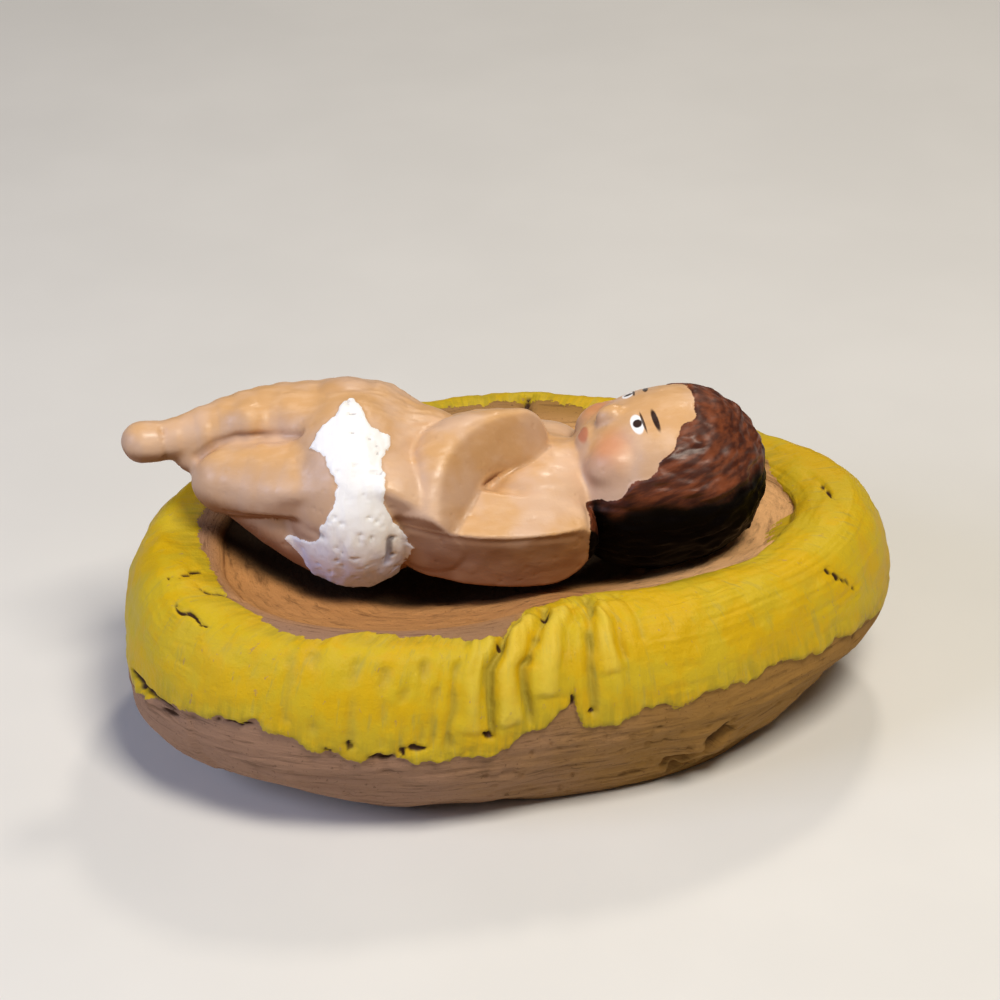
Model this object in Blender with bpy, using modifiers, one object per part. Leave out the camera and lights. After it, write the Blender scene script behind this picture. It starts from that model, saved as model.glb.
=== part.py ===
"""A clay infant lying in an oval straw bed.

Two hand-modelled pieces of painted clay: the bed, a thick oval dish whose rim is scored like straw,
and the infant, who lies loose on his back in its hollow. Sizes are in metres, +Z is up, +X runs to the
infant's head. The origin is under the middle of the whole piece, on the flat foot.
"""

import math

import bmesh
import bpy
import numpy as np
from mathutils import Matrix, Vector
from mathutils.bvhtree import BVHTree

# Bed: the clay dish
BED_LENGTH = 0.0757
BED_WIDTH = 0.0545
BED_HEIGHT = 0.0205
WIDEST_HEIGHT = 0.0098
FOOT_LENGTH = 0.0440
FOOT_WIDTH = 0.0400
FOOT_OFFSET = (0.0052, -0.0004)
RIM_WIDTH = 0.0102
HOLLOW_DEPTH = 0.0082
OVAL_POWER = 2.15
SLANT = 0.24

# Straw: strokes of a modelling tool across the rim
STRAW_DEPTH = 0.0004
FURROW_DEPTH = 0.0009
LEDGE_DEPTH = 0.0007
LEDGE_HEIGHT = 0.0080
STROKE_LEAN = 9.0

# Infant
FIGURE_LENGTH = 0.0643
FIGURE_OFFSET = (0.0008, -0.0002)
FIGURE_TURN = -8.0
REST_GAP = 0.0003

# Fineness of the solids
BED_MERIDIANS = 120
BED_RINGS = 20
NEAR_SIDE_FINER = 0.60
FIGURE_FACES = 5200

# The bed's skin runs from under its middle (0) round the rim to the middle of the hollow (1); these are the
# shares at which it leaves the foot, is widest, crests, and drops into the hollow
FOOT_END = 1.0 / BED_RINGS
WIDEST = 0.35
CREST = 0.65
LIP = 0.80

# The infant's places and radii below are in these units, 64.3 of them from toes to crown
UNIT = FIGURE_LENGTH / 64.3
FIGURE_VOXEL = 0.5 * UNIT
NECK = 8.0
SEAT_TO_HEAD = 32.0


def clear_scene():
    for obj in list(bpy.data.objects):
        bpy.data.objects.remove(obj, do_unlink=True)


def new_collection(name):
    collection = bpy.data.collections.new(name)
    bpy.context.scene.collection.children.link(collection)
    return collection


def clay(name, colour, roughness):
    """Painted or bare fired clay: one Principled BSDF."""
    material = bpy.data.materials.new(name)
    material.use_nodes = True
    shader = material.node_tree.nodes["Principled BSDF"]
    shader.inputs["Base Color"].default_value = (*colour, 1.0)
    shader.inputs["Roughness"].default_value = roughness
    shader.inputs["Metallic"].default_value = 0.0
    return material


def points_of(mesh):
    points = np.empty(len(mesh.vertices) * 3, np.float32)
    mesh.vertices.foreach_get("co", points)
    return points.reshape(-1, 3).astype(np.float64)


def put_points(mesh, points):
    mesh.vertices.foreach_set("co", points.astype(np.float32).ravel())
    mesh.update()


def applied(obj, name, collection):
    """A new object from this one with its modifiers worked in; the old one is removed."""
    graph = bpy.context.evaluated_depsgraph_get()
    mesh = bpy.data.meshes.new_from_object(obj.evaluated_get(graph))
    mesh.name = name
    made = bpy.data.objects.new(name, mesh)
    made.matrix_world = obj.matrix_world.copy()
    bpy.data.objects.remove(obj, do_unlink=True)
    collection.objects.link(made)
    return made


# The bed


def stretch(low, high, value):
    """How far the value has come from low (0) to high (1), straight."""
    return np.clip((value - low) / (high - low), 0.0, 1.0)


def smooth_step(low, high, value):
    """The same, easing in and out."""
    share = stretch(low, high, value)
    return share * share * (3.0 - 2.0 * share)


def oval(angle, length, width, power):
    """Distance from the centre to a superellipse of this length and width, at each angle."""
    across = np.abs(np.cos(angle) / (length / 2)) ** power
    along = np.abs(np.sin(angle) / (width / 2)) ** power
    return (across + along) ** (-1.0 / power)


def hand_pressed(angle):
    """The bed's oval isn't true: three full corners, and presses of a thumb in (-) and out (+) of its side."""
    lobes = 0.044 * np.cos(3.0 * (angle - math.radians(-33.0)))
    for degrees, push, width in ((-7.0, 0.048, 13.0), (27.0, -0.028, 16.0), (-44.0, -0.030, 12.0), (160.0, 0.020, 14.0)):
        apart = np.abs(np.angle(np.exp(1j * (angle - math.radians(degrees)))))
        lobes = lobes + push * np.exp(-((apart / math.radians(width)) ** 2))
    return 1.0 + lobes


def crest_height(angle):
    """The rim rises and falls a little as it goes round."""
    return BED_HEIGHT * (1.0 + 0.020 * np.cos(2.0 * angle + 0.6) + 0.012 * np.cos(5.0 * angle))


def stroke_lean(stroke):
    """How far a stroke of the tool leans as it crosses the rim: most at the middle of the near side."""
    return math.radians(STROKE_LEAN) * np.exp(-(((stroke - math.radians(-92.0)) / math.radians(14.0)) ** 2))


def bed_skin(stroke, share):
    """Points on the bed's skin; share runs 0 to 1 from under the middle, round the rim, to the hollow.

    A line of equal stroke goes straight out from the middle, or leans as the tool's strokes do.
    """
    angle = stroke + stroke_lean(stroke) * (share - 0.5)
    foot = oval(angle, FOOT_LENGTH, FOOT_WIDTH, 2.4)
    widest = oval(angle, BED_LENGTH, BED_WIDTH, OVAL_POWER) * hand_pressed(angle)
    crest = widest - 0.48 * RIM_WIDTH
    inner = widest - RIM_WIDTH
    top = crest_height(angle)
    lip = top - 0.22 * HOLLOW_DEPTH
    floor = BED_HEIGHT - HOLLOW_DEPTH
    belly = 0.5 * math.pi * stretch(FOOT_END, WIDEST, share)
    outer = 0.5 * math.pi * stretch(WIDEST, CREST, share)
    inward = 0.5 * math.pi * stretch(CREST, LIP, share)
    bowl = stretch(LIP, 1.0, share)
    rise = 1.0 - np.cos(belly)
    slant = SLANT * (1.0 + 1.6 * np.cos(angle - math.radians(-20.0)))
    spread = (1.0 - slant) * np.sin(belly) + slant * rise
    radius = foot * stretch(0.0, FOOT_END, share) * (1.0 - spread) + widest * spread
    radius = radius - (widest - crest) * (1.0 - np.cos(outer))
    radius = radius - (crest - inner) * np.sin(inward) - inner * bowl
    height = WIDEST_HEIGHT * rise + (top - WIDEST_HEIGHT) * np.sin(outer)
    height = height - (top - lip) * (1.0 - np.cos(inward))
    height = height - (lip - floor) * (1.0 - (1.0 - bowl) ** 2.6)
    tooled = straw_cut(stroke, share)
    radius = radius - (tooled + ledge_cut(height)) * smooth_step(FOOT_END, WIDEST, share)
    height = height - tooled * smooth_step(WIDEST, CREST, share)
    aside = (1.0 - spread) * (1.0 - stretch(WIDEST, CREST, share))
    across = radius * np.cos(angle) + FOOT_OFFSET[0] * aside
    along = radius * np.sin(angle) + FOOT_OFFSET[1] * aside
    return np.stack([across, along, height], 1)


def straw_cut(stroke, share):
    """Depth of the tool strokes at each point of the rim, from the hollow's edge down to the ledge."""
    band = smooth_step(WIDEST - 0.08, WIDEST - 0.02, share) * (1.0 - smooth_step(CREST + 0.04, LIP, share))
    near = np.cos(stroke + math.pi / 2.0)
    waves = 0.5 + 0.5 * np.cos(46.0 * stroke + 1.5 * np.sin(3.0 * stroke))
    depth = STRAW_DEPTH * waves * smooth_step(0.25, 0.75, near)
    for degrees, width in ((-98.0, 1.6), (-93.0, 1.5), (-88.0, 1.5), (-77.0, 1.5)):
        depth = depth + FURROW_DEPTH * np.exp(-(((stroke - math.radians(degrees)) / math.radians(width)) ** 2))
    return depth * band


def ledge_cut(height):
    """The straw overhangs the plain clay below it by a small ledge."""
    return LEDGE_DEPTH * (1.0 - smooth_step(LEDGE_HEIGHT - 0.0008, LEDGE_HEIGHT, height))


def split_quads(mesh):
    """Cuts each quad along its shorter diagonal, so that its two halves are always the same."""
    skin = bmesh.new()
    skin.from_mesh(mesh)
    bmesh.ops.triangulate(skin, faces=skin.faces[:], quad_method="SHORT_EDGE")
    skin.to_mesh(mesh)
    skin.free()


def make_bed(collection, material):
    """A ball of clay pressed out into a thick oval dish with a flat foot, and scored round the rim."""
    ball = bmesh.new()
    bmesh.ops.create_uvsphere(ball, u_segments=BED_MERIDIANS, v_segments=BED_RINGS, radius=1.0)
    mesh = bpy.data.meshes.new("straw_bed")
    ball.to_mesh(mesh)
    ball.free()
    points = points_of(mesh)
    around = np.arctan2(points[:, 1], points[:, 0])
    stroke = around - NEAR_SIDE_FINER * np.cos(around)
    share = np.arccos(np.clip(-points[:, 2], -1.0, 1.0)) / math.pi
    put_points(mesh, bed_skin(stroke, share))
    split_quads(mesh)
    mesh.materials.append(material)
    bed = bpy.data.objects.new("straw_bed", mesh)
    collection.objects.link(bed)
    return bed


# The infant, in units of his own length


def lump(solid, centre, radii, tilt=0.0):
    """One pressed ball of clay: a UV sphere with three radii, tilted in the XZ plane by some degrees."""
    place = Matrix.Translation(Vector(centre) * UNIT) @ Matrix.Rotation(math.radians(tilt), 4, "Y")
    matrix = place @ Matrix.Diagonal((*(Vector(radii) * UNIT), 1.0))
    bmesh.ops.create_uvsphere(solid, u_segments=32, v_segments=20, radius=1.0, matrix=matrix)


def limb(solid, stations):
    """A rolled length of clay through (x, y, z, radius) stations, with round ends."""
    curve = bpy.data.curves.new("limb", "CURVE")
    curve.dimensions = "3D"
    curve.bevel_depth = 1.0
    curve.bevel_resolution = 6
    curve.resolution_u = 10
    curve.use_fill_caps = True
    spline = curve.splines.new("NURBS")
    spline.points.add(len(stations) - 1)
    spline.order_u = 3
    spline.use_endpoint_u = True
    for point, (x, y, z, radius) in zip(spline.points, stations):
        point.co = (x * UNIT, y * UNIT, z * UNIT, 1.0)
        point.radius = radius * UNIT
    guide = bpy.data.objects.new("limb", curve)
    bpy.context.scene.collection.objects.link(guide)
    graph = bpy.context.evaluated_depsgraph_get()
    tube = bpy.data.meshes.new_from_object(guide.evaluated_get(graph))
    solid.from_mesh(tube)
    bpy.data.objects.remove(guide, do_unlink=True)
    bpy.data.meshes.remove(tube)
    bpy.data.curves.remove(curve)
    for x, y, z, radius in (stations[0], stations[-1]):
        lump(solid, (x, y, z), (radius, radius, radius))


def trunk(solid):
    lump(solid, (-15.2, 0.2, 1.2), (7.6, 10.4, 9.9))
    lump(solid, (-8.6, 0.6, 0.6), (7.6, 7.9, 8.1))
    lump(solid, (1.5, 0.2, -2.0), (8.5, 8.4, 6.2))
    lump(solid, (4.4, 0.6, -1.6), (4.4, 8.6, 5.4))
    limb(solid, ((5.0, -0.3, -0.6, 5.0), (8.5, -0.3, -0.2, 4.6), (12.0, -0.3, 0.2, 5.0)))


def arms(solid):
    """Both arms folded over the breast: each a roll from shoulder to elbow and one back up to the hands."""
    limb(solid, ((2.6, -7.0, -1.6, 4.6), (-1.8, -7.6, -1.4, 4.7), (-6.6, -6.0, -0.4, 4.6)))
    limb(solid, ((-7.0, -5.2, 0.0, 4.5), (-6.6, -2.4, 3.4, 3.9), (-3.6, 0.0, 5.2, 3.5), (1.2, 1.0, 4.8, 2.9)))
    limb(solid, ((5.0, 6.6, -0.8, 4.0), (0.0, 8.0, -0.4, 4.0), (-4.6, 6.4, 0.4, 4.0)))
    limb(solid, ((-4.6, 6.2, 0.8, 3.8), (-2.6, 4.6, 3.4, 3.4), (1.6, 3.2, 4.0, 2.8)))


def legs(solid):
    """The far leg straight out; the near one bent, its foot tucked under."""
    limb(solid, ((-13.5, 4.6, 4.2, 6.1), (-20.0, 5.4, 5.8, 4.8), (-26.0, 4.4, 6.4, 3.8), (-32.4, 3.4, 6.4, 2.4)))
    limb(solid, ((-32.0, 3.4, 6.4, 2.4), (-34.2, 3.2, 6.2, 2.3), (-35.8, 3.0, 6.4, 1.9)))
    limb(solid, ((-14.0, -3.6, 0.0, 6.4), (-20.0, -1.6, 2.0, 5.0), (-27.2, 0.8, 3.2, 3.5)))
    limb(solid, ((-26.8, 0.6, 2.8, 3.5), (-23.4, 0.0, 0.2, 3.4), (-19.0, -0.8, -2.8, 2.9)))


def head(solid):
    """A round head with plain even features, and a cap of modelled hair over crown, sides and nape."""
    tilt = -22.0
    turned = Matrix.Rotation(math.radians(tilt), 3, "Y")
    centre = Vector((15.1, -0.3, 0.6))
    lump(solid, centre, (10.6, 8.5, 8.9), tilt)
    for place, radii in (
        ((2.0, 0.0, -0.6), (8.3, 8.9, 8.9)),
        ((-1.2, 0.0, 8.4), (1.4, 1.0, 1.2)),
        ((-3.0, 3.6, 5.4), (2.8, 2.6, 2.6)),
        ((-3.0, -3.6, 5.4), (2.8, 2.6, 2.6)),
        ((-4.6, 0.0, 7.2), (1.0, 1.7, 1.0)),
        ((-6.8, 0.0, 5.6), (2.0, 2.4, 2.0)),
    ):
        lump(solid, centre + turned @ Vector(place), radii, tilt)


def make_figure(collection, material):
    """All the lumps and rolls pressed into one body of clay."""
    solid = bmesh.new()
    for step in (trunk, arms, legs, head):
        step(solid)
    mesh = bpy.data.meshes.new("figure_lumps")
    solid.to_mesh(mesh)
    solid.free()
    rough = bpy.data.objects.new("figure_rough", mesh)
    collection.objects.link(rough)
    fuse = rough.modifiers.new("Press together", "REMESH")
    fuse.mode = "VOXEL"
    fuse.voxel_size = FIGURE_VOXEL
    soften = rough.modifiers.new("Soften", "SMOOTH")
    soften.factor = 0.5
    soften.iterations = 4
    fused = applied(rough, "figure_fused", collection)
    thin = fused.modifiers.new("Fewer faces", "DECIMATE")
    thin.ratio = min(1.0, FIGURE_FACES / (2.0 * len(fused.data.polygons)))
    figure = applied(fused, "baby_figure", collection)
    figure.data.materials.clear()
    figure.data.materials.append(material)
    return figure


# Laying the infant in the hollow


def drop_gaps(points, bed_tree):
    """How far each point could fall straight down before it met the bed."""
    down = Vector((0.0, 0.0, -1.0))
    gaps = np.full(len(points), np.inf)
    for index, point in enumerate(points):
        hit, _, _, distance = bed_tree.ray_cast(Vector(point), down)
        if hit is not None:
            gaps[index] = distance
    return gaps


def lay_in_bed(figure, bed):
    """Lowers and tips the figure until its seat and the back of its head both rest on the hollow."""
    bed_mesh = bed.data
    bed_mesh.calc_loop_triangles()
    corners = [tuple(triangle.vertices) for triangle in bed_mesh.loop_triangles]
    tree = BVHTree.FromPolygons([tuple(point) for point in points_of(bed_mesh)], corners)
    points = points_of(figure.data)
    at_head = points[:, 0] > NECK * UNIT
    sideways = np.array(Matrix.Rotation(math.radians(FIGURE_TURN), 3, "Z"))
    points = points @ sideways.T + np.array([*FIGURE_OFFSET, 2.5 * BED_HEIGHT])
    for _ in range(8):
        gaps = drop_gaps(points, tree)
        head_gap = gaps[at_head].min()
        seat_gap = gaps[~at_head].min()
        pitch = math.atan2(head_gap - seat_gap, SEAT_TO_HEAD * UNIT)
        turn = np.array(Matrix.Rotation(pitch, 3, "Y"))
        middle = points.mean(axis=0)
        points = (points - middle) @ turn.T + middle
    gaps = drop_gaps(points, tree)
    points[:, 2] -= gaps.min() - REST_GAP
    put_points(figure.data, points)


def centre_all(objects):
    """Shifts every piece so that the origin is under the middle of their common box, on the foot."""
    everything = np.concatenate([points_of(obj.data) for obj in objects])
    low, high = everything.min(axis=0), everything.max(axis=0)
    middle = np.array([(low[0] + high[0]) / 2.0, (low[1] + high[1]) / 2.0, low[2]])
    for obj in objects:
        put_points(obj.data, points_of(obj.data) - middle)


def shade(obj):
    obj.data.shade_smooth()
    obj.data.set_sharp_from_angle(angle=math.radians(50))


def main():
    clear_scene()
    collection = new_collection("baby_in_straw_bed")
    straw = clay("painted_clay_bed", (0.555, 0.373, 0.030), 0.55)
    skin = clay("painted_clay_figure", (0.70, 0.42, 0.24), 0.40)
    bed = make_bed(collection, straw)
    figure = make_figure(collection, skin)
    lay_in_bed(figure, bed)
    centre_all([bed, figure])
    for obj in (bed, figure):
        shade(obj)
        print(obj.name, len(obj.data.polygons), "faces")


main()
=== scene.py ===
# %% [markdown]
# # A clay infant in an oval straw bed
# The real object is two pieces of hand-modelled terracotta, painted by brush: a thick oval bed whose rim is
# scored and painted as yellow straw, and a small infant who lies loose in its hollow. Everything about such a
# piece is soft: no edge is straight, no two strokes are alike, and thumb, brush and tool have left marks.
#
# The solids of the frame fix where both pieces are and how big they are. Here each is made again as a fine
# surface, from formulas worked out with numpy. Lengths are in millimetres until a mesh is put in the frame,
# because the marks of a tool on clay are easier to think of as 0.3 mm than as 0.0003 m.

# %% The frame
import math

import bpy
import numpy as np
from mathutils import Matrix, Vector


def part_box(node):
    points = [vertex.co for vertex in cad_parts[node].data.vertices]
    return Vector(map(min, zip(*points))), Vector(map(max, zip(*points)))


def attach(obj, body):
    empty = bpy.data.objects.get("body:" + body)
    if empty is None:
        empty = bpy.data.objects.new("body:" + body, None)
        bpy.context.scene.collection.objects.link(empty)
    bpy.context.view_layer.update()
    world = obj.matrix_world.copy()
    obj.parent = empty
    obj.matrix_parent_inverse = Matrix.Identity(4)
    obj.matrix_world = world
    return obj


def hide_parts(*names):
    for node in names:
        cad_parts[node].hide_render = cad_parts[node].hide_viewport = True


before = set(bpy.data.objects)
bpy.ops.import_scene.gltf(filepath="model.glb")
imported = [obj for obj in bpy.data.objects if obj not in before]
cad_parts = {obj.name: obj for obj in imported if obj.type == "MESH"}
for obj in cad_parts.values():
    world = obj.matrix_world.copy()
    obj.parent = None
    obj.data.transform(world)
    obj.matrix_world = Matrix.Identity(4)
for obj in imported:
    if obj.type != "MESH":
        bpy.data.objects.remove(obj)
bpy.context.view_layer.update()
MM = 0.001
BED_BOX = np.array([list(corner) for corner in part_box("straw_bed")]) / MM
FIGURE_BOX = np.array([list(corner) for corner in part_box("baby_figure")]) / MM
print("bed", BED_BOX.round(1).tolist(), "figure", FIGURE_BOX.round(1).tolist())

# %% [markdown]
# ## Camera
# The piece is seen from above its near side, a little from the feet's end, from arm's length with a long
# lens, so that its lines hardly converge. A camera could be aimed by hand; here it is placed by two angles
# and a distance, the way a photographer would note them.

# %% The camera
AZIMUTH, ELEVATION, DISTANCE = -15.0, 33.0, 300.0
AIM = (-0.4, -3.3, 9.5)
LENS, SENSOR, SHIFT, NEAREST = 107.0, 36.0, (-0.007, 0.115), 0.01


def from_angles(azimuth, elevation, distance, aim):
    """The point at this distance from aim, turned azimuth degrees from straight in front and raised by elevation."""
    a, e = math.radians(azimuth), math.radians(elevation)
    away = np.array([math.sin(a) * math.cos(e), -math.cos(a) * math.cos(e), math.sin(e)])
    return np.array(aim) + distance * away


def face_towards(obj, place, aim):
    """Puts obj at place, in mm, looking at aim."""
    obj.location = Vector(place) * MM
    obj.rotation_euler = (Vector(aim) - Vector(place)).to_track_quat("-Z", "Y").to_euler()


camera_data = bpy.data.cameras.new("camera")
camera_data.lens, camera_data.sensor_width, camera_data.clip_start = LENS, SENSOR, NEAREST
camera_data.shift_x, camera_data.shift_y = SHIFT
camera = bpy.data.objects.new("camera", camera_data)
bpy.context.scene.collection.objects.link(camera)
face_towards(camera, from_angles(AZIMUTH, ELEVATION, DISTANCE, AIM), AIM)
bpy.context.scene.camera = camera
print("camera at", from_angles(AZIMUTH, ELEVATION, DISTANCE, AIM).round(1), "mm")

# %% [markdown]
# ## Studio
# Three soft lamps in a pale room: a warm one high up in front, a small one behind that draws the satin glints
# of the paint, and a cool one at the feet's end that turns the shaded clay a little lilac. One big lamp would
# be softer still, but it would leave the folds of the straw flat.

# %% The lamps and the room
# Name, azimuth, elevation, distance and size in mm, watts, colour.
LAMPS = (
    ("warm_lamp", 16.0, 62.0, 420.0, 140.0, 1.52, (1.0, 0.92, 0.79)),
    ("back_lamp", 150.0, 50.0, 420.0, 50.0, 0.40, (1.0, 0.90, 0.76)),
    ("cool_lamp", -80.0, 30.0, 420.0, 180.0, 0.80, (0.70, 0.76, 1.0)),
)
LIT_POINT = (0.0, 0.0, 12.0)
ROOM_COLOUR, ROOM_STRENGTH = (1.0, 0.98, 0.96, 1.0), 0.05
for name, azimuth, elevation, distance, size, watts, colour in LAMPS:
    lamp_data = bpy.data.lights.new(name, "AREA")
    lamp_data.size = size * MM
    lamp_data.energy = watts
    lamp_data.color = colour
    lamp = bpy.data.objects.new(name, lamp_data)
    bpy.context.scene.collection.objects.link(lamp)
    face_towards(lamp, from_angles(azimuth, elevation, distance, LIT_POINT), LIT_POINT)

room = bpy.data.worlds.new("room")
room.use_nodes = True
room.node_tree.nodes["Background"].inputs["Color"].default_value = ROOM_COLOUR
room.node_tree.nodes["Background"].inputs["Strength"].default_value = ROOM_STRENGTH
bpy.context.scene.world = room
bpy.context.scene.view_settings.view_transform = "Standard"

# %% [markdown]
# ## Helpers: uneven numbers
# Nothing here is random twice over: every unevenness comes from one lattice of fixed numbers, blended smoothly
# between its corners, so that the same script always makes the same clay. Blender's own noise could do it in
# a modifier; worked out with numpy it can also steer the painted edges.


# %% Clouds of smooth unevenness
def lattice(corner, seed):
    """A fixed number from -1 to 1 for each whole-number corner: its three places mixed by products and shifts."""
    mixed = corner[:, 0] * 73856093 ^ corner[:, 1] * 19349663 ^ corner[:, 2] * 83492791 ^ (seed * 2654435761)
    mixed = mixed & 0xFFFFFFFF
    mixed = ((mixed ^ (mixed >> 13)) * 1274126177) & 0xFFFFFFFF
    return ((mixed ^ (mixed >> 16)) & 0xFFFF) / 32767.5 - 1.0


def cloud(points, size, seed):
    """Smooth unevenness from -1 to 1: the lattice's numbers, size apart, eased between the eight corners."""
    scaled = points / np.broadcast_to(np.asarray(size, float), (3,))
    low = np.floor(scaled).astype(np.int64)
    share = scaled - low
    share = share * share * share * (share * (share * 6.0 - 15.0) + 10.0)
    total = np.zeros(len(points))
    for corner in range(8):
        step = np.array([corner & 1, corner >> 1 & 1, corner >> 2 & 1])
        weight = np.where(step == 1, share, 1.0 - share).prod(1)
        total += weight * lattice(low + step, seed)
    return total


def clouds(points, size, layers, seed):
    """Layers of cloud, each half the size and half the height of the one before."""
    size = np.asarray(size, float)
    return sum(cloud(points, size / 2**n, seed + n) / 2**n for n in range(layers))


def stretch(low, high, value):
    """How far the value has come from low (0) to high (1), straight."""
    return np.clip((value - low) / (high - low), 0.0, 1.0)


def ease(low, high, value):
    """The same, easing in and out: 3 times the square less twice the cube."""
    share = stretch(low, high, value)
    return share * share * (3.0 - 2.0 * share)


def hill(middle, width, value):
    """A bell of height 1 around the middle: e to the minus square of the distance in widths."""
    return np.exp(-(((value - middle) / width) ** 2))


def about(axis, degrees):
    """The matrix that turns a point about one axis: 0 for X, 1 for Y, 2 for Z."""
    c, s = math.cos(math.radians(degrees)), math.sin(math.radians(degrees))
    first, second = (axis + 1) % 3, (axis + 2) % 3
    matrix = np.eye(3)
    matrix[first, first], matrix[first, second], matrix[second, first], matrix[second, second] = c, -s, s, c
    return matrix


# %% [markdown]
# ## Helpers: meshes
# A surface comes as an array of points; these put it into a mesh, keep numbers on its points for the paint to
# read, and read the points back.


# %% Arrays to meshes and back
def new_piece(name, points, faces):
    """A mesh object of these points, in mm, with its place in its mesh."""
    mesh = bpy.data.meshes.new(name)
    mesh.from_pydata((points * MM).tolist(), [], faces)
    mesh.update()
    piece = bpy.data.objects.new(name, mesh)
    bpy.context.scene.collection.objects.link(piece)
    mesh.polygons.foreach_set("use_smooth", [True] * len(mesh.polygons))
    return piece


def keep(piece, **named):
    """Stores one number, or one point, for each vertex of the piece under names that a material can read."""
    for name, values in named.items():
        kind, field = ("FLOAT", "value") if values.ndim == 1 else ("FLOAT_VECTOR", "vector")
        attribute = piece.data.attributes.new(name, kind, "POINT")
        attribute.data.foreach_set(field, values.astype(np.float32).ravel())


def points_in(mesh):
    """The mesh's points in mm."""
    points = np.empty(len(mesh.vertices) * 3, np.float32)
    mesh.vertices.foreach_get("co", points)
    return points.reshape(-1, 3).astype(float) / MM


def outward(points, triangles):
    """Each point's normal: the sum of its triangles' cross products, made length 1."""
    a, b, c = (points[triangles[:, i]] for i in range(3))
    across = np.cross(b - a, c - a)
    normal = np.zeros_like(points)
    for i in range(3):
        for axis in range(3):
            normal[:, axis] += np.bincount(triangles[:, i], across[:, axis], len(points))
    return normal / np.maximum(np.linalg.norm(normal, axis=1, keepdims=True), 1e-12)


# %% [markdown]
# ## The bed: its form
# The real bed is one fist of clay, pressed out into a thick oval dish. A potter's wheel would have made a true
# round; this one was turned in the hands, so its outline is pushed in and out. It is drawn here as a skin over
# two parameters: the angle round the bed, and a share that runs from under its middle, round the rim, to
# the middle of the hollow. A sculpted cage with subdivision would do too, but a formula keeps the rim's width,
# height and slope as plain sizes.

# %% The oval and the hand's presses
BED_LENGTH, BED_WIDTH, BED_HEIGHT = 75.7, 54.5, 20.5
OVAL_POWER = 2.15
PRESSES = ((-7.0, 0.048, 13.0), (27.0, -0.028, 16.0), (-44.0, -0.030, 12.0), (160.0, 0.020, 14.0))


def oval(angle, length, width, power):
    """Distance from the centre to a superellipse: the two shares' powers added, and the root of that."""
    along = np.abs(np.cos(angle) / (length / 2)) ** power
    across = np.abs(np.sin(angle) / (width / 2)) ** power
    return (along + across) ** (-1.0 / power)


def turned_to(angle, degrees):
    """How far each angle is from this many degrees, the short way round."""
    return np.angle(np.exp(1j * (angle - math.radians(degrees))))


def hand_pressed(angle):
    """Three full corners, and presses of a thumb in and out of the side: a cosine and some bells."""
    lobes = 0.044 * np.cos(3.0 * (angle + math.radians(33.0)))
    for degrees, push, width in PRESSES:
        lobes = lobes + push * hill(0.0, math.radians(width), turned_to(angle, degrees))
    return 1.0 + lobes


# %% The skin from under the middle to the hollow
WIDEST_HEIGHT = 9.8
FOOT_LENGTH, FOOT_WIDTH, FOOT_POWER, FOOT_ASIDE = 44.0, 40.0, 2.4, (5.2, -0.4)
RIM_WIDTH, HOLLOW_DEPTH = 10.2, 8.2
BROADER, BROADER_AT, BROADER_OVER = 0.13, -62.0, 32.0
CREST_SHARE, LIP_SHARE = 0.48, 0.22
BOWL_POWER, NEAR_GENTLER = 2.6, 1.3
SLANT = 0.24
FOOT_END, WIDEST, CREST, LIP = 0.05, 0.35, 0.65, 0.80


def rim_width(angle):
    """The rim is broader towards the head and on its near right side: one width and a bell."""
    return RIM_WIDTH * (1.0 + BROADER * hill(0.0, math.radians(BROADER_OVER), turned_to(angle, BROADER_AT)))


def bed_skin(angle, share):
    """Points of the bare bed, by quarter turns.

    Out from under the middle along the flat foot, a quarter turn up to the widest line, one in to the crest, one
    down to the lip, and a bowl whose depth goes as a power of the way in, gentler on the near side.
    """
    foot = oval(angle, FOOT_LENGTH, FOOT_WIDTH, FOOT_POWER)
    widest = oval(angle, BED_LENGTH, BED_WIDTH, OVAL_POWER) * hand_pressed(angle)
    crest = widest - CREST_SHARE * rim_width(angle)
    inner = widest - rim_width(angle)
    top = BED_HEIGHT * (1.0 + 0.020 * np.cos(2.0 * angle + 0.6) + 0.012 * np.cos(5.0 * angle))
    lip = top - LIP_SHARE * HOLLOW_DEPTH
    floor = BED_HEIGHT - HOLLOW_DEPTH
    belly, outer, inward = (
        0.5 * math.pi * stretch(low, high, share) for low, high in ((FOOT_END, WIDEST), (WIDEST, CREST), (CREST, LIP))
    )
    bowl = stretch(LIP, 1.0, share)
    rise = 1.0 - np.cos(belly)
    slant = SLANT * (1.0 + 1.6 * np.cos(turned_to(angle, -20.0)))
    spread = (1.0 - slant) * np.sin(belly) + slant * rise
    radius = foot * stretch(0.0, FOOT_END, share) * (1.0 - spread) + widest * spread
    radius = radius - (widest - crest) * (1.0 - np.cos(outer)) - (crest - inner) * np.sin(inward) - inner * bowl
    height = WIDEST_HEIGHT * rise + (top - WIDEST_HEIGHT) * np.sin(outer) - (top - lip) * (1.0 - np.cos(inward))
    near = ease(-0.2, 0.9, -np.sin(angle))
    height = height - (lip - floor) * (1.0 - (1.0 - bowl) ** (BOWL_POWER - NEAR_GENTLER * near))
    aside = (1.0 - spread) * (1.0 - stretch(WIDEST, CREST, share))
    return np.stack(
        [radius * np.cos(angle) + FOOT_ASIDE[0] * aside, radius * np.sin(angle) + FOOT_ASIDE[1] * aside, height], 1
    )


# %% [markdown]
# ## The bed: its grid
# The grid's lines run the way the tool went. On the near side the strokes lean, so the meridians lean with
# them, and a groove then stays between two lines of the grid instead of stepping across them like a stair.
# Lines are closer together on the near side and on the rim, where the marks are.

# %% The grid's two parameters
AROUND, ALONG = 436, 224
NEAR_FINER = 0.42
ROW_STOPS = ((0.0, 0.0), (0.03, 0.05), (0.30, 0.35), (0.66, 0.66), (0.80, 0.80), (1.0, 1.0))


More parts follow.
